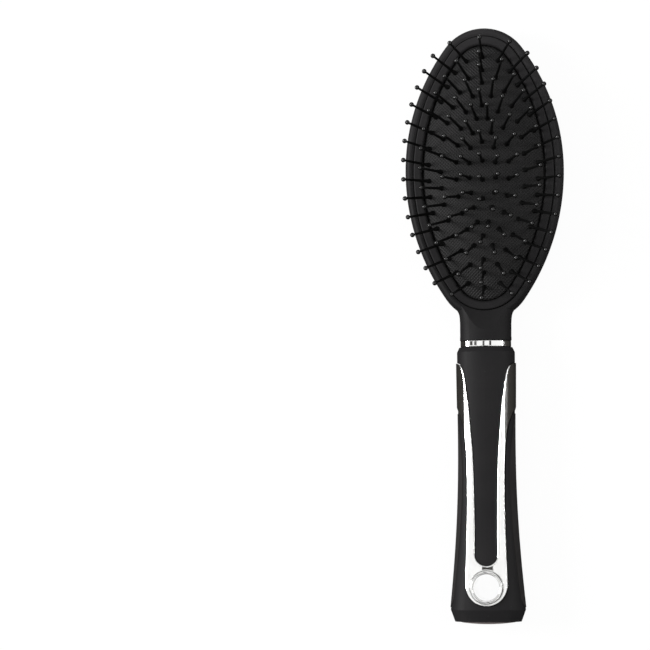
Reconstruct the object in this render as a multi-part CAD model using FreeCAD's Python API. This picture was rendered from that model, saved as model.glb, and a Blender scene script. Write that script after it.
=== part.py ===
import FreeCAD, Part

import math
import os

# Oval cushion hair brush, lying on its back with the pins up.
# Millimetres. +Y runs from the foot of the handle to the nose of the head, +Z towards the pins.
# Places along the brush are measured from the crown of the end cap and turned into Y by along().

LENGTH = 240.0  # crown of the end cap to the nose of the head
OVERRUN = 4.0  # how far every cutting tool runs past what it cuts
FIT_GAP = 0.15  # all round, between pieces that are pushed together
SEAM_GAP = 0.3  # the open line that shows between two visible pieces
TOUCH = 0.01  # closer than this counts as touching
LOFT_DEGREE = 3  # of every smooth loft, low so that it doesn't swing between its sections

# Head
HEAD_WIDTH = 64.0
HEAD_NOSE_REACH = 58.0  # from the widest place to the nose
HEAD_TAIL_EXTRA = 2.6  # how much further the tail reaches, where it runs into the neck
HEAD_NOSE_SHARE = 0.6  # radius of the nose to half the width
HEAD_TAIL_SHARE = 0.594  # radius of the tail to half the width
HEAD_EDGE_HEIGHT = 8.6  # the widest level of the head above the table
HEAD_RIM_HEIGHT = 13.6  # the flat front rim
HEAD_RIM_ROUND = 2.0  # how far the rim is drawn in by its rounding
BACK_SQUARENESS = 2.5  # 2 is an elliptic back, more is flatter
BACK_FLAT_TURN = math.radians(8)  # where the dome gives way to a small flat, turned from its pole
BACK_LEVELS = 9
RIM_LEVELS = 3

# Neck and tang
NECK_LENGTH = 8.4  # from the tail of the head to the foot of the neck
NECK_SIDE_STEP = 1.3  # from the side of the handle in to the side of the neck
NECK_FACE_STEP = 1.5  # from the face of the handle in to the face of the neck
NECK_REACH = 36.0  # how far the neck runs on into the head
NECK_END_SHARE = 0.9  # end radius of a section to half its thickness
NECK_STATIONS = 19  # sections that the neck runs through
NECK_FLARE_PLACE = 13.4  # from the foot of the neck to the middle of its flare into the head
NECK_FLARE_ROUND = 2.6  # half the run of that flare
NECK_FLARE_SHARE = 1.38  # width after the flare to the width before it
TANG_WIDTH = 10.5
TANG_THICKNESS = 7.0
TANG_ROUND = 1.5
TANG_END_SHARE = 0.59  # place of the tang's lower end to that of the handle's top

# Cushion, its frame and the chamber under it
PAD_SIDE_MARGIN = 7.2  # from the outline of the head to the cushion, at the widest place
PAD_NOSE_MARGIN = 7.4  # at the nose
PAD_TAIL_MARGIN = 7.4  # and from the tail, where the neck runs out of the head
PAD_END_SHARE = 0.494  # end radius to half the width
PAD_CROWN = 8.0  # rise of the dome over its edge
PAD_SIDE_ARCH_SHARE = 0.8  # of the dome from side to side: 0 is a parabola, 1 a half ellipse
PAD_END_ARCH_SHARE = 0.95  # and of its crown from end to end
DOME_SPAN_SHARE = 1.06  # how far the dome's surface is drawn out past the cushion's side
DOME_ROWS = 41  # of points that the dome's surface runs through, end to end
DOME_COLUMNS = 17  # and from side to side
DOME_STEP = 0.01  # over which the dome's slope is taken
PAD_THICKNESS = 1.4
PAD_EDGE_HEIGHT = 12.2
PAD_FLANGE_WIDTH = 2.6
FRAME_WIDTH = 3.5
FRAME_THICKNESS = 2.8
FRAME_PROUD = 0.4  # the frame over the rim
FRAME_OUTER_ROUND = 0.6
FRAME_INNER_ROUND = 1.1
CHAMBER_FLOOR = 4.8
DISH_DEPTH = 0.4  # of the shallow cone that clears the rim round the frame and dishes the neck
DISH_RISE = 4.0  # height that the cone is drawn out to
DISH_SLOPE_SHARE = 0.43  # its rise to its run

# Pins
PIN_LENGTH = 16.0  # over the cushion
PIN_BALL_RADIUS = 0.95
PIN_TIP_RADIUS = 0.45
PIN_SHAFT_RADIUS = 0.58
PIN_FOOT_RADIUS = 1.0
PIN_FOOT_TAPER = 2.4  # height of the flared foot
PIN_NECK_RADIUS = 0.75
PIN_HEAD_RADIUS = 1.4
PIN_HEAD_THICKNESS = 0.8
PIN_GAP = 0.1  # round the neck of a pin in its hole
PIN_FOOT_GAP = 0.3  # under its foot, which is square to the pin and not to the cushion
PIN_HEAD_GAP = 0.45  # and over its head
PIN_SIDE_LEAN_SHARE = 0.684  # sine of the lean to the side at the edge of the cushion
PIN_END_LEAN_SHARE = 0.412  # sine of the lean to the end, where it has reached its full measure
PIN_END_LEAN_RISE = 1.6  # how fast that lean is reached from the middle of the cushion
# Name, pins, half width and half length as shares of the cushion's,
# and the end radius as a share of the ring's half width.
PIN_RING_SHARES = (
    ("pin_ring_outer", 34, 0.885, 0.895, 0.58),
    ("pin_ring_second", 28, 0.68, 0.785, 0.36),
    ("pin_ring_third", 22, 0.425, 0.685, 0.1),
    ("pin_ring_inner", 18, 0.21, 0.505, 0.1),
)
CENTRE_ROW_PINS = 4
CENTRE_ROW_SHARE = 0.22  # half length of the centre row to the cushion's

# Handle
HANDLE_TOP_BEVEL = 1.9
HANDLE_TOP_DRAW = 0.9  # the top face is drawn in by this
HANDLE_FOOT = 1.05
HANDLE_FOOT_BEVEL = 4.7
HANDLE_FOOT_DRAW = 1.7
HANDLE_WIDTH = 23.2  # at the top
HANDLE_THICKNESS = 16.6
HANDLE_FOOT_WIDTH = 29.9
HANDLE_FOOT_THICKNESS = 19.2
HANDLE_END_SHARE = 0.9  # end radius of a section to half its thickness
# Place as a share of the length between the bevels, and the share of the flare reached there.
HANDLE_STATION_SHARES = (
    (0.0, 1.0),
    (0.1, 0.7),
    (0.25, 0.32),
    (0.4, 0.06),
    (0.55, -0.07),
    (0.72, -0.08),
    (1.0, 0.0),
)
WALL = 2.6
END_WALL = 3.0
RIB_THICKNESS = 2.0
RIB_SHARES = (0.175, 0.742)  # of the way from the tang's end to the handle's top
PEG_RADIUS = 1.7
PEG_LENGTH = 3.0
PEG_WALL = 1.5
PEG_SHARES = (0.3, 0.767)  # of the way from the boss of the hole to the tang's end

# Collar between the neck and the handle
COLLAR_LENGTH = 2.8
COLLAR_SIDE_STEP = 0.15  # from the side of the neck in to the side of the collar
COLLAR_FACE_STEP = 0.4
COLLAR_ROUND = 0.4

# Bright trim: a fork on each face that runs into an eye round the hanging hole
TRIM_PROUD = 0.45
TRIM_DEPTH = 1.1
TRIM_OVERHANG = 0.7  # how far its outline runs past the side of the handle
EYE_PLACE = 14.7
EYE_SIDE_BAND = 1.85  # width of the eye beside the flange of the eyelet
EYE_FOOT_BAND = 0.85  # and under it
BRIDGE_BAND = 1.8  # from that flange to the foot of the tongue
TONGUE_SHARE = 0.4  # width of the dark tongue inside the fork to the handle's
FORK_INSET = 6.25  # from the handle's top to where the arch crosses its side
FORK_WAIST_SHARE = 0.645  # width over the outer edges, at the narrowest, to the handle's
SADDLE_LENGTH = 15.6  # height of the bright saddle on the side of the handle
# Inner edge of a prong: share of the way from the tongue's round to the top of the arch,
# and share of the way out from the tongue's half width to past the side.
PRONG_INNER_SHARES = (
    (0.28, 0.0),
    (0.41, 0.03),
    (0.54, 0.08),
    (0.69, 0.195),
    (0.78, 0.27),
    (0.87, 0.38),
    (0.95, 0.5),
    (0.985, 0.66),
)
# Outer edge of a prong: share of the way from the eye to the saddle's foot,
# and share of the way out from the waist's half width to past the side.
PRONG_OUTER_SHARES = (
    (0.18, 0.085),
    (0.38, 0.01),
    (0.56, 0.0),
    (0.69, 0.045),
    (0.8, 0.15),
    (0.89, 0.37),
    (0.955, 0.72),
)

# Soft side grips
GRIP_PROUD = 0.25
GRIP_DEPTH = 1.2
GRIP_ROUND = 0.2
GRIP_TOP_SHARE = 0.76  # places to that of the handle's top
GRIP_WIDEST_SHARE = 0.52
GRIP_FOOT = 6.6
GRIP_WIDTH = 10.4
GRIP_TOP_RADIUS = 1.2
GRIP_FOOT_RADIUS = 4.4

# Hanging hole and end cap
HOLE_RADIUS = 5.2
EYELET_WALL = 1.0
EYELET_FLANGE = 1.35  # width of the flange outside the bore
EYELET_FLANGE_THICKNESS = 1.0
EYELET_PROUD = 0.25  # the flange over the trim
EYELET_ROUND = 0.45
EYELET_BOSS_WALL = 1.8
CAP_INSET = 2.4  # from the outline of the foot to the cap
CAP_EDGE = 0.25  # the cap's edge over the foot
CAP_PLUG_LENGTH = 2.2

# Sizes and places that follow from those above
HEAD_TAIL_REACH = HEAD_NOSE_REACH + HEAD_TAIL_EXTRA
HEAD_CENTRE = LENGTH - HEAD_NOSE_REACH
PAD_WIDTH = HEAD_WIDTH - 2 * PAD_SIDE_MARGIN
PAD_LENGTH = HEAD_NOSE_REACH + HEAD_TAIL_REACH - PAD_NOSE_MARGIN - PAD_TAIL_MARGIN
PAD_CENTRE = LENGTH - PAD_NOSE_MARGIN - PAD_LENGTH / 2
PAD_END_RADIUS = PAD_END_SHARE * PAD_WIDTH / 2
NECK_FOOT = HEAD_CENTRE - HEAD_TAIL_REACH - NECK_LENGTH
NECK_WIDTH = HANDLE_WIDTH - 2 * NECK_SIDE_STEP
NECK_THICKNESS = HANDLE_THICKNESS - 2 * NECK_FACE_STEP
COLLAR_WIDTH = NECK_WIDTH - 2 * COLLAR_SIDE_STEP
COLLAR_THICKNESS = NECK_THICKNESS - 2 * COLLAR_FACE_STEP
HANDLE_TOP = NECK_FOOT - COLLAR_LENGTH
TANG_END = TANG_END_SHARE * HANDLE_TOP
LINING_RADIUS = HOLE_RADIUS + EYELET_WALL + FIT_GAP  # of the bore that takes the eyelet
BOSS_RADIUS = LINING_RADIUS + EYELET_BOSS_WALL
FLANGE_RADIUS = HOLE_RADIUS + EYELET_FLANGE
EYE_RADIUS = FLANGE_RADIUS + EYE_SIDE_BAND
EYE_CENTRE = EYE_PLACE - FLANGE_RADIUS - EYE_FOOT_BAND + EYE_RADIUS  # of the round foot of the trim
TONGUE_WIDTH = TONGUE_SHARE * HANDLE_WIDTH
TONGUE_FOOT = EYE_PLACE + FLANGE_RADIUS + BRIDGE_BAND
FORK_WAIST = FORK_WAIST_SHARE * HANDLE_WIDTH
FORK_TOP = HANDLE_TOP - FORK_INSET
SADDLE_FOOT = FORK_TOP - SADDLE_LENGTH
GRIP_TOP = GRIP_TOP_SHARE * HANDLE_TOP
GRIP_WIDEST = GRIP_WIDEST_SHARE * HANDLE_TOP
RIB_PLACES = [TANG_END + share * (HANDLE_TOP - TANG_END) for share in RIB_SHARES]
BOSS_TOP = EYE_PLACE + BOSS_RADIUS
PEG_PLACES = [BOSS_TOP + share * (TANG_END - BOSS_TOP) for share in PEG_SHARES]

V = FreeCAD.Vector
UP = V(0, 0, 1)


def along(place):
    return place - LENGTH / 2


# Sizes of the handle at a place

def flare_at(place):
    """Share of the handle's flare at a place, straight between the stations."""
    start = HANDLE_FOOT + HANDLE_FOOT_BEVEL
    share = (place - start) / (HANDLE_TOP - HANDLE_TOP_BEVEL - start)
    for (low, low_flare), (high, high_flare) in zip(HANDLE_STATION_SHARES, HANDLE_STATION_SHARES[1:]):
        if share <= high:
            return low_flare + (high_flare - low_flare) * (share - low) / (high - low)
    return HANDLE_STATION_SHARES[-1][1]


def half_thickness_at(place):
    return (HANDLE_THICKNESS + flare_at(place) * (HANDLE_FOOT_THICKNESS - HANDLE_THICKNESS)) / 2


EYELET_REACH = half_thickness_at(EYE_PLACE) + TRIM_PROUD + EYELET_PROUD
AXIS_HEIGHT = EYELET_REACH  # the rear eyelet and the back of the head rest on the table
AXIS_POINT = V(0, 0, AXIS_HEIGHT)


# Outlines

def side_arc_radius(half_width, reach, end_radius):
    """Radius of the side of an egg that runs smoothly into its round end."""
    return (half_width**2 + (reach - end_radius) ** 2 - end_radius**2) / (2 * (half_width - end_radius))


def egg_edges(half_width, nose, nose_radius, tail, tail_radius, point):
    """Closed egg of six tangent arcs about its widest line, nose to +v and tail to -v.
    point(u, v) carries the plane of the outline into space."""
    def side(reach, radius):
        side_radius = side_arc_radius(half_width, reach, radius)
        return side_radius, math.atan2(reach - radius, side_radius - half_width)

    def arc(centre_u, centre_v, radius, start, end):
        turns = (start, (start + end) / 2, end)
        points = [point(centre_u + radius * math.cos(t), centre_v + radius * math.sin(t)) for t in turns]
        return Part.Arc(*points).toShape()

    upper, upper_turn = side(nose, nose_radius)
    lower, lower_turn = side(tail, tail_radius)
    turn = math.pi
    return [
        arc(half_width - upper, 0, upper, 0, upper_turn),
        arc(0, nose - nose_radius, nose_radius, upper_turn, turn - upper_turn),
        arc(upper - half_width, 0, upper, turn - upper_turn, turn),
        arc(lower - half_width, 0, lower, turn, turn + lower_turn),
        arc(0, tail_radius - tail, tail_radius, turn + lower_turn, 2 * turn - lower_turn),
        arc(half_width - lower, 0, lower, 2 * turn - lower_turn, 2 * turn),
    ]


def head_level(height, scale=1.0, inset=0.0):
    """Outline of the head at a height, scaled about its widest place or drawn in all round."""
    half = HEAD_WIDTH / 2
    sizes = [half, HEAD_NOSE_REACH, HEAD_NOSE_SHARE * half, HEAD_TAIL_REACH, HEAD_TAIL_SHARE * half]
    sizes = [size * scale - inset for size in sizes]
    return Part.Wire(egg_edges(*sizes, lambda u, v: V(u, along(HEAD_CENTRE) + v, height)))


def pad_oval(half_width, reach, radius, height):
    """Oval that is alike at both ends, about the middle of the cushion."""
    edges = egg_edges(half_width, reach, radius, reach, radius,
                      lambda u, v: V(u, along(PAD_CENTRE) + v, height))
    return Part.Wire(edges)


def pad_outline(height, grow=0.0):
    return pad_oval(PAD_WIDTH / 2 + grow, PAD_LENGTH / 2 + grow, PAD_END_RADIUS + grow, height)


def pad_prism(low, high, grow=0.0):
    return Part.Face(pad_outline(low, grow)).extrude(UP * (high - low))


def cross_section(place, half_width, half_thickness, height, end_share):
    """Oval across the brush: long axis along X, short axis along Z."""
    radius = half_thickness * end_share
    edges = egg_edges(half_thickness, half_width, radius, half_width, radius,
                      lambda u, v: V(v, along(place), height + u))
    return Part.Wire(edges)


def smooth_loft(wires):
    return Part.makeLoft(wires, True, False, False, LOFT_DEGREE)


# Head

def head_pillow():
    """Domed back with a small flat, widest at the edge height, rounded up to the flat rim."""
    power = 2 / BACK_SQUARENESS
    step = (math.pi / 2 - BACK_FLAT_TURN) / (BACK_LEVELS - 1)
    turns = [BACK_FLAT_TURN + step * i for i in range(BACK_LEVELS)]
    flat = math.cos(BACK_FLAT_TURN) ** power
    levels = []
    for t in turns:
        depth = max(math.cos(t), 0) ** power / flat
        levels.append(head_level(HEAD_EDGE_HEIGHT * (1 - depth), math.sin(t) ** power))
    rise = HEAD_RIM_HEIGHT - HEAD_EDGE_HEIGHT
    for i in range(1, RIM_LEVELS + 1):
        t = math.pi / 2 * i / RIM_LEVELS
        inset = HEAD_RIM_ROUND * (1 - math.cos(t))
        levels.append(head_level(HEAD_EDGE_HEIGHT + rise * math.sin(t), 1.0, inset))
    return smooth_loft(levels)


def neck():
    """Straight neck that flares into the outline of the head while its front sinks into the head."""
    half_thickness = NECK_THICKNESS / 2
    low = AXIS_HEIGHT - half_thickness
    sections = []
    for i in range(NECK_STATIONS):
        share = i / (NECK_STATIONS - 1)
        flare = (1 + math.tanh((share * NECK_REACH - NECK_FLARE_PLACE) / NECK_FLARE_ROUND)) / 2
        half_width = NECK_WIDTH / 2 * (1 + flare * (NECK_FLARE_SHARE - 1))
        high = AXIS_HEIGHT + half_thickness * (1 + math.cos(math.pi * share)) / 2
        sections.append(
            cross_section(NECK_FOOT + share * NECK_REACH, half_width, (high - low) / 2, (high + low) / 2,
                          NECK_END_SHARE)
        )
    return smooth_loft(sections)


def tang(grow=0.0):
    """Flat bar with rounded edges that the head carries into the handle."""
    width = TANG_WIDTH + 2 * grow
    thickness = TANG_THICKNESS + 2 * grow
    start = along(TANG_END) - grow
    bar = Part.makeBox(width, along(NECK_FOOT) + OVERRUN - start, thickness,
                       V(-width / 2, start, AXIS_HEIGHT - thickness / 2))
    long_edges = [e for e in bar.Edges if abs(e.tangentAt(e.FirstParameter).y) > 1 - TOUCH]
    return bar.makeFillet(TANG_ROUND, long_edges)


def frame_floor():
    return HEAD_RIM_HEIGHT + FRAME_PROUD - FRAME_THICKNESS


def ledge():
    return frame_floor() - PAD_THICKNESS


def rim_dish():
    """Cone round the frame that bevels the inside of the rim and dishes the front of the neck."""
    foot = HEAD_RIM_HEIGHT - DISH_DEPTH
    start = FRAME_WIDTH + SEAM_GAP
    run = DISH_RISE / DISH_SLOPE_SHARE
    return Part.makeLoft([pad_outline(foot, start), pad_outline(foot + DISH_RISE, start + run)], True, True)


def paddle_body():
    above = HEAD_RIM_HEIGHT + PAD_CROWN + OVERRUN
    seat = pad_prism(ledge(), above, FRAME_WIDTH + SEAM_GAP)
    chamber = pad_prism(CHAMBER_FLOOR, above, -PAD_THICKNESS - SEAM_GAP - FIT_GAP)
    return head_pillow().fuse([neck(), tang()]).cut([seat, chamber, rim_dish()]).removeSplitter()


def cushion_frame():
    """Retaining ring that clamps the flange of the cushion on the ledge of the head."""
    low = frame_floor()
    high = low + FRAME_THICKNESS
    plate = pad_prism(low, high, FRAME_WIDTH)
    plate = plate.makeFillet(FRAME_OUTER_ROUND, [e for e in plate.Edges if e.BoundBox.ZMin > high - TOUCH])
    ring = plate.cut(pad_prism(low - OVERRUN, high + OVERRUN))
    lip = pad_outline(high)
    lip_edges = [e for e in ring.Edges if e.BoundBox.ZMin > high - TOUCH and lip.distToShape(e)[0] < TOUCH]
    return ring.makeFillet(FRAME_INNER_ROUND, lip_edges)


# Cushion

def arch(share, arch_share):
    """Height of a flat elliptic arch at a share of its half span: 1 in the middle, 0 at its foot."""
    low = math.sqrt(1 - arch_share)
    return (math.sqrt(1 - arch_share * share**2) - low) / (1 - low)


def dome_span(y):
    """Half width of the dome at y from the middle of the cushion, along the long sides of its outline."""
    radius = side_arc_radius(PAD_WIDTH / 2, PAD_LENGTH / 2, PAD_END_RADIUS)
    return math.sqrt(radius**2 - y**2) - radius + PAD_WIDTH / 2


def dome_height(x, y):
    """An arch from side to side, whose crown is itself an arch from end to end."""
    crown = PAD_CROWN * arch(y / (PAD_LENGTH / 2), PAD_END_ARCH_SHARE)
    return PAD_EDGE_HEIGHT + crown * arch(x / dome_span(y), PAD_SIDE_ARCH_SHARE)


def dome_point(x, y):
    """Point on the dome over x, y from the middle of the cushion, and the outward normal there."""
    slope_x = (dome_height(x + DOME_STEP, y) - dome_height(x - DOME_STEP, y)) / (2 * DOME_STEP)
    slope_y = (dome_height(x, y + DOME_STEP) - dome_height(x, y - DOME_STEP)) / (2 * DOME_STEP)
    return V(x, along(PAD_CENTRE) + y, dome_height(x, y)), V(-slope_x, -slope_y, 1).normalize()


def dome(drop=0.0):
    """Solid under the dome, or under its surface moved inwards, drawn out past the cushion's sides."""
    rows = []
    for i in range(DOME_ROWS):
        y = PAD_LENGTH / 2 * (2 * i / (DOME_ROWS - 1) - 1)
        reach = DOME_SPAN_SHARE * dome_span(y)
        places = [dome_point(reach * (2 * j / (DOME_COLUMNS - 1) - 1), y) for j in range(DOME_COLUMNS)]
        rows.append([at - out * drop for at, out in places])
    surface = Part.BSplineSurface()
    surface.interpolate(rows)
    return surface.toShape().extrude(-UP * (PAD_EDGE_HEIGHT + PAD_CROWN))


def cushion_pad(places):
    top = PAD_EDGE_HEIGHT + PAD_CROWN + OVERRUN
    crown = dome().common(pad_prism(ledge(), top, -SEAM_GAP))
    flange = pad_prism(ledge(), ledge() + PAD_THICKNESS, PAD_FLANGE_WIDTH)
    hollow = dome(PAD_THICKNESS).common(pad_prism(ledge() - OVERRUN, top, -SEAM_GAP - PAD_THICKNESS))
    radius = PIN_NECK_RADIUS + PIN_GAP
    depth = PAD_THICKNESS + OVERRUN / 2
    holes = [Part.makeCylinder(radius, 2 * depth, at - out * depth, out) for at, out in places]
    return crown.fuse(flange).cut(hollow).cut(holes)


# Pins

def pin():
    """One pin about Z, with the surface of the cushion at zero: head, neck, flared foot, shaft and ball."""
    under = -PAD_THICKNESS - PIN_HEAD_GAP
    ball_centre = PIN_LENGTH - PIN_BALL_RADIUS
    ball_foot = ball_centre - math.sqrt(PIN_BALL_RADIUS**2 - PIN_TIP_RADIUS**2)
    corners = [
        (0, under - PIN_HEAD_THICKNESS),
        (PIN_HEAD_RADIUS, under - PIN_HEAD_THICKNESS),
        (PIN_HEAD_RADIUS, under),
        (PIN_NECK_RADIUS, under),
        (PIN_NECK_RADIUS, PIN_FOOT_GAP),
        (PIN_FOOT_RADIUS, PIN_FOOT_GAP),
        (PIN_SHAFT_RADIUS, PIN_FOOT_TAPER),
        (PIN_TIP_RADIUS, ball_foot),
    ]
    points = [V(radius, 0, height) for radius, height in corners]
    edges = [Part.LineSegment(a, b).toShape() for a, b in zip(points, points[1:])]
    tip = V(0, 0, PIN_LENGTH)
    edges.append(Part.Arc(points[-1], V(PIN_BALL_RADIUS, 0, ball_centre), tip).toShape())
    edges.append(Part.LineSegment(tip, points[0]).toShape())
    return Part.Face(Part.Wire(edges)).revolve(V(0, 0, 0), UP, 360)


def pin_place(x, y):
    """Point on the dome over x, y from the middle of the cushion, and the way that a pin leans there:
    outwards in step with its share of the dome's half width, and towards the nearer end."""
    lean_x = PIN_SIDE_LEAN_SHARE * x / dome_span(y)
    lean_y = PIN_END_LEAN_SHARE * math.tanh(PIN_END_LEAN_RISE * y / (PAD_LENGTH / 2))
    return dome_point(x, y)[0], V(lean_x, lean_y, math.sqrt(1 - lean_x**2 - lean_y**2))


def ring_places(count, width_share, length_share, end_share):
    """Places evenly spaced along one oval of pins, starting at the nose."""
    half_width = PAD_WIDTH / 2 * width_share
    oval = pad_oval(half_width, PAD_LENGTH / 2 * length_share, half_width * end_share, 0)
    fine = oval.discretize(Number=4 * count + 1)
    picked = [fine[(count + 4 * i) % (4 * count)] for i in range(count)]
    return [pin_place(p.x, p.y - along(PAD_CENTRE)) for p in picked]


def row_places():
    reach = PAD_LENGTH / 2 * CENTRE_ROW_SHARE
    step = 2 * reach / (CENTRE_ROW_PINS - 1)
    return [pin_place(0, reach - step * i) for i in range(CENTRE_ROW_PINS)]


def pins_at(places):
    one = pin()
    pins = []
    for at, out in places:
        turned = FreeCAD.Placement(at, FreeCAD.Rotation(UP, out))
        pins.append(one.transformed(turned.toMatrix(), True))
    return Part.makeCompound(pins)


# Handle

def handle_section(place, flare, offset):
    half_width = (HANDLE_WIDTH + flare * (HANDLE_FOOT_WIDTH - HANDLE_WIDTH)) / 2
    half_thickness = (HANDLE_THICKNESS + flare * (HANDLE_FOOT_THICKNESS - HANDLE_THICKNESS)) / 2
    return cross_section(place, half_width + offset, half_thickness + offset, AXIS_HEIGHT, HANDLE_END_SHARE)


def handle_main(offset=0.0):
    """The flared length of the handle between its two bevels, grown all round."""
    start = HANDLE_FOOT + HANDLE_FOOT_BEVEL
    reach = HANDLE_TOP - HANDLE_TOP_BEVEL - start
    sections = [handle_section(start + share * reach, flare, offset) for share, flare in HANDLE_STATION_SHARES]
    return smooth_loft(sections)


def handle_body():
    first = HANDLE_STATION_SHARES[0][1]
    last = HANDLE_STATION_SHARES[-1][1]
    foot = Part.makeLoft(
        [handle_section(HANDLE_FOOT, first, -HANDLE_FOOT_DRAW),
         handle_section(HANDLE_FOOT + HANDLE_FOOT_BEVEL, first, 0)], True, True)
    top = Part.makeLoft(
        [handle_section(HANDLE_TOP - HANDLE_TOP_BEVEL, last, 0),
         handle_section(HANDLE_TOP, last, -HANDLE_TOP_DRAW)], True, True)
    return handle_main().fuse([foot, top])


def slab(low, high):
    """Everything across the handle between two places."""
    width = HANDLE_FOOT_WIDTH + OVERRUN
    return Part.makeBox(2 * width, high - low, 2 * width, V(-width, along(low), AXIS_HEIGHT - width))


def front_half():
    width = HANDLE_FOOT_WIDTH + OVERRUN
    return Part.makeBox(2 * width, LENGTH, width, V(-width, along(0), AXIS_HEIGHT))


def mirrored(shape):
    return shape.mirror(AXIS_POINT, UP)


def hole_tool(radius, low, high):
    """Round tool on the axis of the hanging hole, between two heights over the handle's axis."""
    return Part.makeCylinder(radius, high - low, V(0, along(EYE_PLACE), AXIS_HEIGHT + low))


def trim_outline(grow=0.0):
    """Fork and eye seen from the front, grown all round."""
    side = HANDLE_WIDTH / 2 + TRIM_PROUD + TRIM_OVERHANG
    inner = TONGUE_WIDTH / 2 - grow
    waist = FORK_WAIST / 2 + grow
    eye = EYE_RADIUS + grow
    round_place = TONGUE_FOOT + TONGUE_WIDTH / 2
    top = FORK_TOP + grow
    saddle = SADDLE_FOOT - grow

    def at(x, place):
        return V(x, along(place), AXIS_HEIGHT)

    def spline(points):
        curve = Part.BSplineCurve()
        curve.interpolate(points)
        return curve.toShape()

    def inner_edge(hand):
        points = [at(hand * inner, round_place)]
        for share, out in PRONG_INNER_SHARES:
            points.append(at(hand * (inner + out * (side - inner)), round_place + share * (top - round_place)))
        points.append(at(hand * side, top))
        return spline(points)

    def outer_edge(hand):
        points = [at(hand * eye, EYE_CENTRE)]
        for share, out in PRONG_OUTER_SHARES:
            points.append(at(hand * (waist + out * (side - waist)), EYE_CENTRE + share * (saddle - EYE_CENTRE)))
        points.append(at(hand * side, saddle))
        return spline(points)

    edges = [inner_edge(1), inner_edge(-1), outer_edge(1), outer_edge(-1)]
    edges.append(Part.Arc(at(inner, round_place), at(0, round_place - inner), at(-inner, round_place)).toShape())
    edges.append(Part.Arc(at(eye, EYE_CENTRE), at(0, EYE_CENTRE - eye), at(-eye, EYE_CENTRE)).toShape())
    for hand in (1, -1):
        edges.append(Part.LineSegment(at(hand * side, top), at(hand * side, saddle)).toShape())
    return Part.Wire(Part.__sortEdges__(edges))


def trim_prism(grow=0.0):
    return Part.Face(trim_outline(grow)).extrude(UP * (HANDLE_FOOT_THICKNESS / 2 + OVERRUN))


def rounded_rim(shape, skin, radius):
    """A let-in piece with the rim of its outer skin rounded, but for edges on the middle plane."""
    shell = skin.Shells[0]
    outer = [f for f in shape.Faces if max(shell.distToShape(v)[0] for v in f.Vertexes) < TOUCH]
    rim = []
    for edge in shape.Edges:
        faces = shape.ancestorsOfType(edge, Part.Face)
        skins = [f for f in faces if any(f.isSame(o) for o in outer)]
        above = max(abs(v.Z - AXIS_HEIGHT) for v in edge.Vertexes)
        if len(faces) == 2 and len(skins) == 1 and above > TOUCH:
            rim.append(edge)
    return shape.makeFillet(radius, rim)


def flange_floor():
    return EYELET_REACH - EYELET_FLANGE_THICKNESS


def trim_front():
    """Bright fork let into the front of the handle, with a stepped hole for the eyelet."""
    band = handle_main(TRIM_PROUD).cut(handle_main(-TRIM_DEPTH)).common(trim_prism())
    flange = hole_tool(FLANGE_RADIUS + FIT_GAP, flange_floor() - FIT_GAP, EYELET_REACH + OVERRUN)
    barrel = hole_tool(LINING_RADIUS, 0, EYELET_REACH + OVERRUN)
    return band.cut([flange, barrel])


def eyelet_front():
    """Half of the lining of the hanging hole: a barrel to the middle of the handle and a rounded flange."""
    barrel = hole_tool(HOLE_RADIUS + EYELET_WALL, 0, EYELET_REACH)
    flange = hole_tool(FLANGE_RADIUS, flange_floor(), EYELET_REACH)
    rim_height = AXIS_HEIGHT + EYELET_REACH
    tube = barrel.fuse(flange).removeSplitter().cut(hole_tool(HOLE_RADIUS, -OVERRUN, EYELET_REACH + OVERRUN))
    return tube.makeFillet(EYELET_ROUND, [e for e in tube.Edges if e.BoundBox.ZMin > rim_height - TOUCH])


def grip_prism(grow=0.0):
    """Leaf outline of a side grip seen from the side, through the whole handle."""
    half_width = GRIP_WIDTH / 2 + grow
    reach = HANDLE_FOOT_WIDTH / 2 + OVERRUN
    edges = egg_edges(half_width, GRIP_TOP - GRIP_WIDEST + grow, GRIP_TOP_RADIUS + grow,
                      GRIP_WIDEST - GRIP_FOOT + grow, GRIP_FOOT_RADIUS + grow,
                      lambda u, v: V(0, along(GRIP_WIDEST) + v, AXIS_HEIGHT + u))
    return Part.Face(Part.Wire(edges)).extrude(V(reach, 0, 0))


def side_grip_right():
    skin = handle_main(GRIP_PROUD)
    strip = skin.cut(handle_main(-GRIP_DEPTH)).common(grip_prism())
    fork = trim_prism(SEAM_GAP)
    return rounded_rim(strip.cut([fork, mirrored(fork)]), skin, GRIP_ROUND)


def peg_tool(place, radius, low, high):
    return Part.makeCylinder(radius, high - low, V(0, along(place), AXIS_HEIGHT + low))


def half_shell():
    """Front half of the handle: wall, end walls, ribs round the tang, bosses and pockets."""
    reach = HANDLE_FOOT_THICKNESS / 2
    passage = tang(FIT_GAP)
    hollow = handle_main(-WALL).common(slab(HANDLE_FOOT + HANDLE_FOOT_BEVEL, HANDLE_TOP - END_WALL))
    kept = [slab(p - RIB_THICKNESS / 2, p + RIB_THICKNESS / 2) for p in RIB_PLACES]
    kept += [peg_tool(p, PEG_RADIUS + PEG_WALL, -reach, reach) for p in PEG_PLACES]
    kept.append(hole_tool(BOSS_RADIUS, -reach, reach))
    shell = handle_body().cut(hollow.cut(kept)).common(front_half())
    grip = grip_prism(SEAM_GAP)
    grip_core = handle_main(-GRIP_DEPTH - FIT_GAP)
    trim_core = handle_main(-TRIM_DEPTH - FIT_GAP)
    tools = [
        passage,
        hole_tool(LINING_RADIUS, -OVERRUN, reach + OVERRUN),
        trim_prism(SEAM_GAP).cut(trim_core),
        grip.cut(grip_core),
        grip.mirror(V(0, 0, 0), V(1, 0, 0)).cut(grip_core),
        cap_plug(FIT_GAP),
    ]
    return shell.cut(tools)


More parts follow.
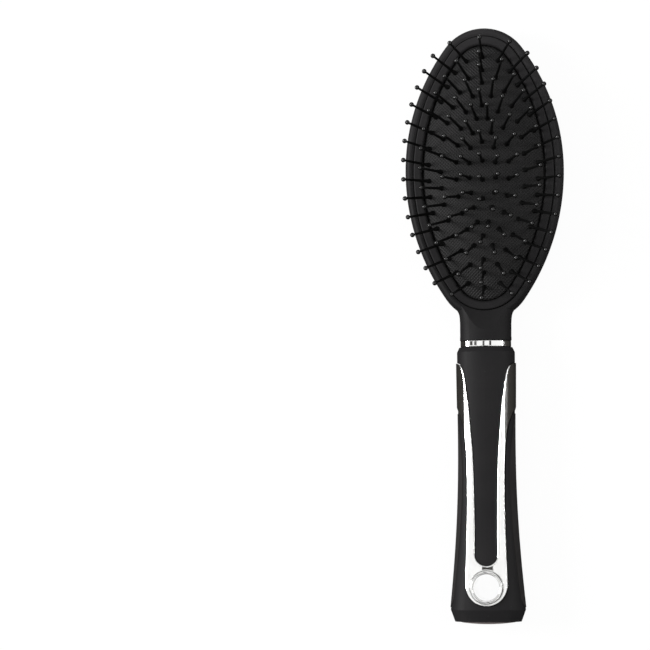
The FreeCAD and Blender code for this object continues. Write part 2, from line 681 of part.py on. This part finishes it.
def handle_front(shell):
    pegs = [peg_tool(p, PEG_RADIUS, -PEG_LENGTH, PEG_LENGTH) for p in PEG_PLACES]
    return shell.fuse(pegs).removeSplitter()


def handle_back(shell):
    sockets = [peg_tool(p, PEG_RADIUS + FIT_GAP, -PEG_LENGTH - FIT_GAP, OVERRUN) for p in PEG_PLACES]
    return shell.cut(sockets)


def cap_section(place, grow):
    return handle_section(place, HANDLE_STATION_SHARES[0][1], -HANDLE_FOOT_DRAW - CAP_INSET + grow)


def cap_plug(grow=0.0):
    depth = V(0, CAP_PLUG_LENGTH + OVERRUN + grow, 0)
    return Part.Face(cap_section(HANDLE_FOOT - OVERRUN, grow)).extrude(depth)


def end_cap():
    """Plug in the foot of the handle with a shallow spherical crown."""
    half_width = HANDLE_FOOT_WIDTH / 2 - HANDLE_FOOT_DRAW - CAP_INSET
    crown = HANDLE_FOOT - CAP_EDGE
    radius = (half_width**2 + crown**2) / (2 * crown)
    ball = Part.makeSphere(radius, V(0, along(0) + radius, AXIS_HEIGHT))
    return cap_plug().common(ball)


def neck_collar():
    ring = Part.makeLoft(
        [cross_section(place, COLLAR_WIDTH / 2, COLLAR_THICKNESS / 2, AXIS_HEIGHT, NECK_END_SHARE)
         for place in (HANDLE_TOP, NECK_FOOT)], True, True)
    ends = [e for e in ring.Edges if e.BoundBox.YLength < TOUCH]
    return ring.makeFillet(COLLAR_ROUND, ends).cut(tang(FIT_GAP))


def build():
    rings = {name: ring_places(*shares) for name, *shares in PIN_RING_SHARES}
    rings["pin_row_centre"] = row_places()
    front_trim = trim_front()
    front_eyelet = eyelet_front()
    front_shell = half_shell()
    right_grip = side_grip_right()
    parts = {
        "paddle_body": paddle_body(),
        "cushion_frame": cushion_frame(),
        "cushion_pad": cushion_pad([place for places in rings.values() for place in places]),
        "neck_collar": neck_collar(),
        "handle_front": handle_front(front_shell),
        "handle_back": handle_back(mirrored(front_shell)),
        "trim_front": front_trim,
        "trim_back": mirrored(front_trim),
        "eyelet_front": front_eyelet,
        "eyelet_back": mirrored(front_eyelet),
        "side_grip_right": right_grip,
        "side_grip_left": right_grip.mirror(V(0, 0, 0), V(1, 0, 0)),
        "end_cap": end_cap(),
    }
    for name, places in rings.items():
        parts[name] = pins_at(places)
    return parts


def main():
    os.makedirs("parts", exist_ok=True)
    for name, shape in build().items():
        state = "valid" if shape.isValid() else "not valid"
        print(name, len(shape.Solids), "solids", round(shape.Volume, 1), "mm3", state)
        shape.exportStep(f"parts/{name}.step")


main()
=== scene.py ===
import math

import bpy
import numpy as np
from mathutils import Matrix, Vector


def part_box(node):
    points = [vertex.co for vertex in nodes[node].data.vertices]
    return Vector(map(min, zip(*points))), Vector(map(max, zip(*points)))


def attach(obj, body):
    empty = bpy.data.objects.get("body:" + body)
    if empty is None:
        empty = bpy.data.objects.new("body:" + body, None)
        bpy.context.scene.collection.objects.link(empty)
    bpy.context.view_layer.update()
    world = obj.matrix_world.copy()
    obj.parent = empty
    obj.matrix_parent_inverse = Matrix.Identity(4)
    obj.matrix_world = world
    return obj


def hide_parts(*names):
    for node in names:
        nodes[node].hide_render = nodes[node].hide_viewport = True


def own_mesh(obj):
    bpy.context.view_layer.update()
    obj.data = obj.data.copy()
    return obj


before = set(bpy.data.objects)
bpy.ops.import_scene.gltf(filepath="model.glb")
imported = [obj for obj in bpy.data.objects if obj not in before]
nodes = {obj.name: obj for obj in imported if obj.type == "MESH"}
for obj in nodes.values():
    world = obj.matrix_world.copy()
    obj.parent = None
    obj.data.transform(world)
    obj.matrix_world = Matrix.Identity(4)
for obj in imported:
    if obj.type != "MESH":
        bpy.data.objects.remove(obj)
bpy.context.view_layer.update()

mm = 0.001
scene = bpy.context.scene
scene.view_settings.view_transform = "Standard"
print("frame loaded:", len(nodes), "nodes")


# Shader helpers: the nodes of a tree stand in a row, in the order in which they are made
nodeStep = 220
nodeRow = -500
noiseSpan = (0.3, 0.7)  # where nearly all values of a noise lie


def addNode(tree, kind, **values):
    node = tree.nodes.new(kind)
    node.location = (nodeStep * len(tree.nodes), nodeRow)
    for key, value in values.items():
        setattr(node, key, value)
    return node


def setInputs(node, values):
    for key, value in values.items():
        node.inputs[key].default_value = value


def link(tree, source, target):
    tree.links.new(source, target)


def mathNode(tree, operation, a, b=None, clamp=False):
    node = addNode(tree, "ShaderNodeMath", operation=operation, use_clamp=clamp)
    for i, value in enumerate((a, b)):
        if value is None:
            continue
        if isinstance(value, (int, float)):
            node.inputs[i].default_value = value
        else:
            link(tree, value, node.inputs[i])
    return node.outputs[0]


def splitVector(tree, vector):
    parts = addNode(tree, "ShaderNodeSeparateXYZ")
    link(tree, vector, parts.inputs[0])
    return parts.outputs


def newGroup(name, inputs, outputs):
    # A shader node group with an input called Vector, float inputs and float outputs
    group = bpy.data.node_groups.new(name, "ShaderNodeTree")
    group.interface.new_socket(name="Vector", in_out="INPUT", socket_type="NodeSocketVector")
    for label in inputs:
        group.interface.new_socket(name=label, in_out="INPUT", socket_type="NodeSocketFloat")
    for label in outputs:
        group.interface.new_socket(name=label, in_out="OUTPUT", socket_type="NodeSocketFloat")
    return group, addNode(group, "NodeGroupInput"), addNode(group, "NodeGroupOutput")


# Moulded grain: a fine noise for height and a broad one for tone
grainSet = {"fine": {"Detail": 3.0, "Roughness": 0.6}, "broad": {"Detail": 4.0, "Roughness": 0.55}}


def makeGrainGroup():
    group, start, end = newGroup("moulded grain", ["Grain", "Broad"], ["Height", "Tone"])
    for kind, scale, output in (("fine", "Grain", "Height"), ("broad", "Broad", "Tone")):
        noise = addNode(group, "ShaderNodeTexNoise")
        setInputs(noise, grainSet[kind])
        link(group, start.outputs["Vector"], noise.inputs["Vector"])
        link(group, start.outputs[scale], noise.inputs["Scale"])
        link(group, noise.outputs["Fac"], end.inputs[output])
    return group


# Lint: sparse tiny specks, the cores of Voronoi cells kept where a second noise is high
lintSet = {"Spacing": 420.0, "Size": 0.13, "Patch": 900.0, "Amount": 0.62}
lintColour = (0.02, 0.02, 0.02, 1)


def makeLintGroup():
    group, start, end = newGroup("lint", list(lintSet), ["Specks"])
    cells = addNode(group, "ShaderNodeTexVoronoi")
    patches = addNode(group, "ShaderNodeTexNoise")
    for texture, scale in ((cells, "Spacing"), (patches, "Patch")):
        link(group, start.outputs["Vector"], texture.inputs["Vector"])
        link(group, start.outputs[scale], texture.inputs["Scale"])
    core = mathNode(group, "LESS_THAN", cells.outputs["Distance"], start.outputs["Size"])
    kept = mathNode(group, "GREATER_THAN", patches.outputs["Fac"], start.outputs["Amount"])
    link(group, mathNode(group, "MULTIPLY", core, kept), end.inputs["Specks"])
    return group


# Crossed ribs: two sets of fine waves along both diagonals of the XY plane, the lower one showing
def makeRibGroup():
    group, start, end = newGroup("crossed ribs", ["Pitch"], ["Height"])
    parts = splitVector(group, start.outputs["Vector"])
    turn = mathNode(group, "DIVIDE", 2 * math.pi / math.sqrt(2), start.outputs["Pitch"])
    waves = []
    for operation in ("ADD", "SUBTRACT"):
        across = mathNode(group, operation, parts["X"], parts["Y"])
        waves.append(mathNode(group, "SINE", mathNode(group, "MULTIPLY", across, turn)))
    link(group, mathNode(group, "MINIMUM", *waves), end.inputs["Height"])
    return group


grainGroup = makeGrainGroup()
lintGroup = makeLintGroup()
ribGroup = makeRibGroup()


def placeGroup(tree, group, vector, values):
    node = addNode(tree, "ShaderNodeGroup", node_tree=group)
    link(tree, vector, node.inputs["Vector"])
    setInputs(node, values)
    return node.outputs


def startMaterial(name):
    material = bpy.data.materials.new(name)
    material.use_nodes = True
    tree = material.node_tree
    return material, tree, tree.nodes["Principled BSDF"]


def objectCoords(tree):
    return addNode(tree, "ShaderNodeTexCoord").outputs["Object"]


def toneColours(tree, value, tones):
    # Colour between two tones by a noise
    ramp = addNode(tree, "ShaderNodeValToRGB")
    for element, position, tone in zip(ramp.color_ramp.elements, noiseSpan, tones):
        element.position = position
        element.color = (*tone, 1)
    link(tree, value, ramp.inputs["Fac"])
    return ramp.outputs["Color"]


def spread(tree, value, source, target):
    # A value carried over from one span to another
    node = addNode(tree, "ShaderNodeMapRange")
    setInputs(node, {"From Min": source[0], "From Max": source[1], "To Min": target[0], "To Max": target[1]})
    link(tree, value, node.inputs["Value"])
    return node.outputs["Result"]


def addGrain(tree, shader, coords, look):
    # The moulded grain of a finish, whose tone also sets the gloss
    grain = placeGroup(tree, grainGroup, coords, {"Grain": look["grain"], "Broad": look["broad"]})
    link(tree, spread(tree, grain["Tone"], noiseSpan, look["rough"]), shader.inputs["Roughness"])
    return grain


def addBump(tree, shader, height, depth, below=None):
    bump = addNode(tree, "ShaderNodeBump")
    setInputs(bump, {"Strength": 1.0, "Distance": depth})
    link(tree, height, bump.inputs["Height"])
    if below is not None:
        link(tree, below, bump.inputs["Normal"])
    link(tree, bump.outputs["Normal"], shader.inputs["Normal"])
    return bump.outputs["Normal"]


def paintLightAndShadeAlongY(tree, coords, colour, paintedLightAndShade):
    # Painted light and shade: the tone is scaled by a share that changes along Y, so the piece is painted
    # darker towards its handle end and lighter towards the nose
    share = spread(tree, splitVector(tree, coords)["Y"], paintedLightAndShade["places"], paintedLightAndShade["shares"])
    scaled = addNode(tree, "ShaderNodeVectorMath", operation="SCALE")
    link(tree, colour, scaled.inputs[0])
    link(tree, share, scaled.inputs["Scale"])
    return scaled.outputs["Vector"]


# Matt finishes: tones, gloss and grain differ from piece to piece; the shell and the frame also carry
# painted light and shade along Y
mattSet = {
    "shellBlack": {
        "tones": ((0.0122, 0.0119, 0.0125), (0.0162, 0.0155, 0.016)),
        "rough": (0.52, 0.62), "specular": 0.1, "grain": 2600.0, "broad": 70.0, "depth": 0.012 * mm,
        # painted shade towards the neck and painted light towards the nose
        "paintedLightAndShade": {"places": (4 * mm, 100 * mm), "shares": (0.78, 1.45)},
    },
    "softTouchBlack": {
        "tones": ((0.0108, 0.0104, 0.0111), (0.0142, 0.0135, 0.0141)),
        "rough": (0.52, 0.62), "specular": 0.1, "grain": 2600.0, "broad": 70.0, "depth": 0.012 * mm,
    },
    "frameBlack": {
        "tones": ((0.0135, 0.013, 0.0137), (0.0172, 0.0165, 0.017)),
        "rough": (0.5, 0.6), "specular": 0.1, "grain": 2200.0, "broad": 70.0, "depth": 0.012 * mm,
        # painted shade towards the tail and painted light towards the nose
        "paintedLightAndShade": {"places": (5 * mm, 115 * mm), "shares": (0.72, 1.2)},
    },
    "gripRubber": {
        "tones": ((0.0185, 0.0172, 0.0172), (0.023, 0.0214, 0.0214)),
        "rough": (0.6, 0.72), "specular": 0.08, "grain": 3200.0, "broad": 70.0, "depth": 0.02 * mm,
    },
    "capGrey": {
        "tones": ((0.18, 0.15, 0.146), (0.23, 0.19, 0.186)),
        "rough": (0.4, 0.5), "specular": 0.3, "grain": 2600.0, "broad": 70.0, "depth": 0.01 * mm,
    },
}


def makeMatt(name, look):
    material, tree, shader = startMaterial(name)
    coords = objectCoords(tree)
    grain = addGrain(tree, shader, coords, look)
    mix = addNode(tree, "ShaderNodeMix", data_type="RGBA")  # its colour sockets are inputs 6 and 7, output 2
    link(tree, placeGroup(tree, lintGroup, coords, lintSet)["Specks"], mix.inputs["Factor"])
    link(tree, toneColours(tree, grain["Tone"], look["tones"]), mix.inputs[6])
    mix.inputs[7].default_value = lintColour
    colour = mix.outputs[2]
    # Painted light and shade along Y, for the finishes that have it
    if "paintedLightAndShade" in look:
        colour = paintLightAndShadeAlongY(tree, coords, colour, look["paintedLightAndShade"])
    link(tree, colour, shader.inputs["Base Color"])
    shader.inputs["Specular IOR Level"].default_value = look["specular"]
    addBump(tree, shader, grain["Height"], look["depth"])
    return material


# Bright plating: a thin haze, a faint wave left by the moulding under it, and edges that plating softens
plateSet = {
    "tones": ((0.93, 0.93, 0.92), (0.97, 0.97, 0.96)),
    "rough": (0.05, 0.1), "grain": 130.0, "broad": 300.0, "depth": 0.01 * mm,
    "edgeRound": 0.8 * mm, "edgeSamples": 8,
}


def makePlate(name):
    material, tree, shader = startMaterial(name)
    grain = addGrain(tree, shader, objectCoords(tree), plateSet)
    link(tree, toneColours(tree, grain["Tone"], plateSet["tones"]), shader.inputs["Base Color"])
    shader.inputs["Metallic"].default_value = 1.0
    edge = addNode(tree, "ShaderNodeBevel", samples=plateSet["edgeSamples"])
    edge.inputs["Radius"].default_value = plateSet["edgeRound"]
    addBump(tree, shader, grain["Height"], plateSet["depth"], edge.outputs["Normal"])
    return material


# Cushion rubber: crossed ribs over a fine grain
rubberSet = {
    "tones": ((0.0119, 0.0119, 0.0122), (0.0175, 0.0169, 0.0171)),
    "rough": (0.42, 0.55), "specular": 0.15, "grain": 1800.0, "broad": 50.0, "depth": 0.03 * mm,
    "ribPitch": 0.95 * mm, "ribDepth": 0.12 * mm,
}


def makeRubber(name):
    material, tree, shader = startMaterial(name)
    coords = objectCoords(tree)
    grain = addGrain(tree, shader, coords, rubberSet)
    link(tree, toneColours(tree, grain["Tone"], rubberSet["tones"]), shader.inputs["Base Color"])
    shader.inputs["Specular IOR Level"].default_value = rubberSet["specular"]
    ribs = placeGroup(tree, ribGroup, coords, {"Pitch": rubberSet["ribPitch"]})
    fine = addBump(tree, shader, grain["Height"], rubberSet["depth"])
    addBump(tree, shader, ribs["Height"], rubberSet["ribDepth"], fine)
    return material


# Pins: dull black shafts, and balls that moulding leaves glossy.
# The balls are what stands over a bowl that falls from the centre pins to the outer ring.
pinSet = {
    "tones": ((0.003, 0.003, 0.003), (0.005, 0.005, 0.005)),
    "rough": (0.35, 0.45), "specular": 0.05, "grain": 1500.0, "broad": 70.0,
    "ball": 1.95 * mm, "drop": 11.0 * mm, "edge": 0.3 * mm, "gloss": 0.9, "glossRough": 0.1,
}


def ballMask(tree, coords):
    # 1 on the balls and 0 on the shafts, by the height over the bowl.
    # The bowl falls with the square of the distance from the middle, measured in half widths of the ring.
    low, high = (np.array(corner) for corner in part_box("pin_ring_outer"))
    reach, middle = (high - low) / 2, (high + low) / 2
    crown = float(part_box("pin_row_centre")[1][2]) - pinSet["ball"]
    parts = splitVector(tree, coords)
    squares = []
    for axis, label in enumerate("XY"):
        offset = mathNode(tree, "SUBTRACT", parts[label], float(middle[axis]))
        share = mathNode(tree, "DIVIDE", offset, float(reach[axis]))
        squares.append(mathNode(tree, "MULTIPLY", share, share))
    fall = mathNode(tree, "MULTIPLY", mathNode(tree, "ADD", *squares), pinSet["drop"])
    over = mathNode(tree, "SUBTRACT", mathNode(tree, "ADD", parts["Z"], fall), crown)
    return mathNode(tree, "DIVIDE", over, pinSet["edge"], clamp=True)


def makePin(name):
    material, tree, shader = startMaterial(name)
    coords = objectCoords(tree)
    grain = addGrain(tree, shader, coords, pinSet)
    link(tree, toneColours(tree, grain["Tone"], pinSet["tones"]), shader.inputs["Base Color"])
    setInputs(shader, {"Specular IOR Level": pinSet["specular"], "Coat Roughness": pinSet["glossRough"]})
    gloss = mathNode(tree, "MULTIPLY", ballMask(tree, coords), pinSet["gloss"])
    link(tree, gloss, shader.inputs["Coat Weight"])
    return material


finishes = {name: makeMatt(name, look) for name, look in mattSet.items()}
finishes["pinNylon"] = makePin("pinNylon")
finishes["brightPlate"] = makePlate("brightPlate")
finishes["cushionRubber"] = makeRubber("cushionRubber")
print("materials made")


# Finishes on the CAD pieces
finishNodes = {
    "shellBlack": ["paddle_body"],
    "softTouchBlack": ["handle_front", "handle_back"],
    "frameBlack": ["cushion_frame"],
    "capGrey": ["end_cap"],
    "gripRubber": ["side_grip_left", "side_grip_right"],
    "brightPlate": ["neck_collar", "trim_front", "trim_back", "eyelet_front", "eyelet_back"],
    "pinNylon": ["pin_ring_outer", "pin_ring_second", "pin_ring_third", "pin_ring_inner", "pin_row_centre"],
}
for finish, names in finishNodes.items():
    for name in names:
        nodes[name].data.materials.clear()
        nodes[name].data.materials.append(finishes[finish])
print("CAD pieces finished")


# Cushion pad: a closed rubber dome laid over the oval outline in rings.
# Its height is an arch from side to side whose own crown is an arch from end to end.
padSet = {
    "flange": 2.6 * mm,  # the CAD pad's edge, which the frame hides
    "seam": 0.3 * mm,  # open line between the rubber and the frame
    "endShare": 0.494,  # radius of the round ends to the half width
    "crown": 8.0 * mm,
    "sideBulge": 0.8,  # of an arch: 0 would be a parabola and 1 a half ellipse
    "endBulge": 0.95,
    "thickness": 1.4 * mm,
    "lip": 0.9 * mm,
    "rings": 48,
    "around": 260,
    "fineness": 40,  # points of the outline that are worked out for each one around
    "keep": 0.5,  # share of its height that is left when the cushion is pressed down
}


def archShare(share, bulge):
    # Flat elliptic arch over a half span: 1 in the middle and 0 at its foot
    low = math.sqrt(1 - bulge)
    return (np.sqrt(1 - bulge * share**2) - low) / (1 - low)


def sideRadius(halfWidth, halfLength, endRadius):
    # Radius of the long side arc that meets the round ends
    reach = halfLength - endRadius
    return (halfWidth**2 + reach**2 - endRadius**2) / (2 * (halfWidth - endRadius))


def ovalOutline(halfWidth, halfLength, endRadius, count):
    # Four tangent arcs by the direction of their normal, then spaced evenly along the outline
    radius = sideRadius(halfWidth, halfLength, endRadius)
    reach = halfLength - endRadius
    turn = math.atan2(reach, radius - halfWidth)
    angle = np.linspace(0, 2 * np.pi, padSet["fineness"] * count + 1)
    onSide = np.abs(np.sin(angle)) < math.sin(turn)
    sideX = np.sign(np.cos(angle)) * (halfWidth - radius) + radius * np.cos(angle)
    endY = np.sign(np.sin(angle)) * reach + endRadius * np.sin(angle)
    x = np.where(onSide, sideX, endRadius * np.cos(angle))
    y = np.where(onSide, radius * np.sin(angle), endY)
    run = np.concatenate([[0], np.cumsum(np.hypot(np.diff(x), np.diff(y)))])
    even = np.linspace(0, run[-1], count, endpoint=False)
    return np.interp(even, run, x), np.interp(even, run, y)


def closedRings(rings, around, top, bottom):
    # Quads between neighbouring rings, and fans that close the first and the last ring on a point each
    here = np.arange(around)
    after = (here + 1) % around
    start = np.arange(rings - 1)[:, None] * around
    quads = np.stack([start + here, start + around + here, start + around + after, start + after], axis=-1)
    last = (rings - 1) * around
    topFan = np.stack([np.full(around, top), here, after], axis=-1)
    bottomFan = np.stack([np.full(around, bottom), last + after, last + here], axis=-1)
    fans = np.stack([topFan, bottomFan], axis=1)
    return quads.reshape(-1, 4).tolist() + fans.reshape(-1, 3).tolist()


def makeMesh(name, points, faces, material):
    mesh = bpy.data.meshes.new(name)
    mesh.from_pydata(np.asarray(points, dtype=float).tolist(), [], faces)
    mesh.polygons.foreach_set("use_smooth", [True] * len(mesh.polygons))
    mesh.materials.append(material)
    piece = bpy.data.objects.new(name, mesh)
    scene.collection.objects.link(piece)
    return piece


def makePad():
    low, high = (np.array(corner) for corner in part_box("cushion_pad"))
    centreY = (low[1] + high[1]) / 2
    halfWidth = (high[0] - low[0]) / 2 - padSet["flange"]
    halfLength = (high[1] - low[1]) / 2 - padSet["flange"]
    edge = high[2] - padSet["crown"]
    endRadius = padSet["endShare"] * halfWidth
    radius = sideRadius(halfWidth, halfLength, endRadius)
    seam, thickness, around = (padSet[key] for key in ("seam", "thickness", "around"))

    def domeHeight(x, y):
        span = np.sqrt(radius**2 - y**2) - (radius - halfWidth)
        crown = padSet["crown"] * archShare(y / halfLength, padSet["endBulge"])
        return edge + crown * archShare(np.minimum(np.abs(x) / span, 1), padSet["sideBulge"])

    # Rings by their share of the outline: outward over the top, down the lip, and inward under the rubber
    outX, outY = ovalOutline(halfWidth - seam, halfLength - seam, endRadius - seam, around)
    over = np.linspace(0, 1, padSet["rings"] + 1)[1:]
    under = over[over < 1 - thickness / halfWidth][::-1]
    shares = np.concatenate([over, [1], under])[:, None]
    x, y = outX * shares, outY * shares
    z = domeHeight(x, y)
    z[len(over)] -= padSet["lip"]
    z[len(over) + 1:] -= thickness
    middle = domeHeight(0.0, 0.0)
    poles = [(0, 0, middle), (0, 0, middle - thickness)]
    points = np.vstack([np.stack([x, y, z], axis=-1).reshape(-1, 3), poles])
    points[:, 1] += centreY
    faces = closedRings(len(shares), around, len(points) - 2, len(points) - 1)
    pad = makeMesh("cushionPad", points, faces, finishes["cushionRubber"])
    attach(pad, "brush")
    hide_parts("cushion_pad")
    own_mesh(pad)


makePad()
print("cushion pad made")


# Stage: a pale floor
floorSet = {"half": 3.0, "tone": (0.97, 0.97, 0.97, 1), "rough": 0.8, "glow": 0.955}


def makePlane(name, corners, material):
    plane = makeMesh(name, corners, [(0, 1, 2, 3)], material)
    return plane


def lyingPlane(name, x0, x1, y0, y1, z, material):
    return makePlane(name, [(x0, y0, z), (x1, y0, z), (x1, y1, z), (x0, y1, z)], material)


def standingPlane(name, start, end, low, high, material):
    return makePlane(name, [(*start, low), (*end, low), (*end, high), (*start, high)], material)


def raysOf(tree, kinds):
    # 1 for rays of the kinds that are named and 0 for all others
    path = addNode(tree, "ShaderNodeLightPath")
    seen = path.outputs[kinds[0]]
    for kind in kinds[1:]:
        seen = mathNode(tree, "ADD", seen, path.outputs[kind], clamp=True)
    return seen


def makeFloorMaterial():
    # White to the camera and in reflections, but for a share of the lit floor that keeps the shadow
    material, tree, shader = startMaterial("paleFloor")
    setInputs(shader, {"Base Color": floorSet["tone"], "Roughness": floorSet["rough"]})
    seen = raysOf(tree, ["Is Camera Ray", "Is Glossy Ray", "Is Transmission Ray"])
    white = addNode(tree, "ShaderNodeEmission")
    both = addNode(tree, "ShaderNodeMixShader")
    link(tree, mathNode(tree, "MULTIPLY", seen, floorSet["glow"]), both.inputs["Fac"])
    link(tree, shader.outputs[0], both.inputs[1])
    link(tree, white.outputs[0], both.inputs[2])
    link(tree, both.outputs[0], tree.nodes["Material Output"].inputs["Surface"])
    return material


half = floorSet["half"]
lyingPlane("floor", -half, half, -half, half, 0, makeFloorMaterial())
print("floor laid")


# Dark cards that only reflections see, as a photographer sets for bright metal:
# two on the floor beside the brush, and walls at their outer edges and ends
cardSet = {
    "look": {
        "tones": ((0.025, 0.0235, 0.0215), (0.033, 0.031, 0.0285)),
        "rough": (0.9, 0.95), "specular": 0.0, "grain": 300.0, "broad": 70.0, "depth": 0.01 * mm,
    },
    "inner": 0.0056, "side": 0.34, "end": 0.5, "lift": 0.0004,
    "leftHeight": 0.11, "rightHeight": 0.275, "footHeight": 0.45, "noseHeight": 0.12,
}
# Small dark flags overhead, whose mirror images are the dark marks on the collar and round the eyelet.
# A place is from and to along X, then from and to along Y.
flagSet = {
    "height": 0.6,
    "places": {
        "flagCollarLeft": (-0.095, -0.05, -0.04, 0.3),
        "flagCollarRight": (0.06, 0.105, -0.04, 0.3),
        "flagCollarSide": (-0.31, -0.24, 0.022, 0.3),
        "flagCollarEnd": (-0.46, -0.36, 0.022, 0.3),
        "flagEyeTop": (-0.135, 0.1, -0.1, -0.03),
        "flagEyeRight": (0.16, 0.27, -0.093, -0.08),
        "flagEyeRing": (-0.1, 0.02, -0.3, -0.134),
    },
}


def makeCards():
    black = makeMatt("cardBlack", cardSet["look"])
    inner, side, end, lift = (cardSet[key] for key in ("inner", "side", "end", "lift"))
    cards = [
        lyingPlane("cardLeft", -inner, -side, -end, end, lift, black),
        lyingPlane("cardRight", inner, side, -end, end, lift, black),
        standingPlane("wallLeft", (-side, -end), (-side, end), lift, cardSet["leftHeight"], black),
        standingPlane("wallRight", (side, -end), (side, end), lift, cardSet["rightHeight"], black),
        standingPlane("wallFoot", (-side, -end), (side, -end), lift, cardSet["footHeight"], black),
        standingPlane("wallNose", (-side, end), (side, end), lift, cardSet["noseHeight"], black),
    ]
    for name, (x0, x1, y0, y1) in flagSet["places"].items():
        cards.append(lyingPlane(name, x0, x1, y1, y0, flagSet["height"], black))  # y turned round: face down
    for card in cards:
        card.visible_camera = False
        card.visible_diffuse = False
        card.visible_shadow = False
        card.visible_transmission = False


makeCards()
print("cards and flags set")


# Light: an even white world, a large softbox overhead that mirrors don't see, and one at each side
worldSet = {"colour": (1, 1, 1, 1), "light": 0.3, "seen": 1.0}
lampSet = {
    "overheadSoftbox": {
        "place": (0, 0.1, 1.4), "target": (0, 0.1, 0), "size": 2.4, "power": 11.0, "mirrored": False,
    },
    "keySoftbox": {
        "place": (-1.3, 0.15, 0.8), "target": (0, 0, 0), "size": 0.5, "power": 24.0, "mirrored": True,
    },
    "fillSoftbox": {
        "place": (1.3, 0.15, 0.8), "target": (0, 0, 0), "size": 0.5, "power": 8.0, "mirrored": True,
    },
}


def makeWorld():
    world = bpy.data.worlds.new("studio")
    scene.world = world
    world.use_nodes = True
    tree = world.node_tree
    sky = tree.nodes["Background"]
    sky.inputs["Color"].default_value = worldSet["colour"]
    level = addNode(tree, "ShaderNodeMix")  # its float sockets are inputs 2 and 3, output 0
    link(tree, raysOf(tree, ["Is Camera Ray", "Is Glossy Ray"]), level.inputs["Factor"])
    level.inputs[2].default_value = worldSet["light"]
    level.inputs[3].default_value = worldSet["seen"]
    link(tree, level.outputs[0], sky.inputs["Strength"])


def addSoftbox(name, look):
    lamp = bpy.data.lights.new(name, "AREA")
    lamp.shape = "SQUARE"
    lamp.size = look["size"]
    lamp.energy = look["power"]
    box = bpy.data.objects.new(name, lamp)
    direction = Vector(look["target"]) - Vector(look["place"])
    turned = direction.to_track_quat("-Z", "Y").to_matrix().to_4x4()
    box.matrix_world = Matrix.Translation(look["place"]) @ turned
    box.visible_glossy = look["mirrored"]
    scene.collection.objects.link(box)


makeWorld()
for name, look in lampSet.items():
    addSoftbox(name, look)
print("light set")


# Camera over the brush and a little to its right, turned so that the brush stands right of the middle
cameraSet = {
    "place": (0.075, -0.075, 1.0), "aim": (-0.06517, 0.00035, 0.01), "roll": -0.0047,
    "lens": 136.99, "sensor": 36.0, "clipStart": 0.01,
}


def makeCamera():
    camera = bpy.data.objects.new("camera", bpy.data.cameras.new("camera"))
    camera.data.lens = cameraSet["lens"]
    camera.data.sensor_width = cameraSet["sensor"]
    camera.data.clip_start = cameraSet["clipStart"]
    forward = (Vector(cameraSet["aim"]) - Vector(cameraSet["place"])).normalized()
    right = forward.cross(Vector((0, 1, 0))).normalized()
    turned = Matrix((right, right.cross(forward), -forward)).transposed().to_4x4()
    rolled = turned @ Matrix.Rotation(cameraSet["roll"], 4, "Z")
    camera.matrix_world = Matrix.Translation(cameraSet["place"]) @ rolled
    scene.collection.objects.link(camera)
    scene.camera = camera


makeCamera()
print("camera ready")
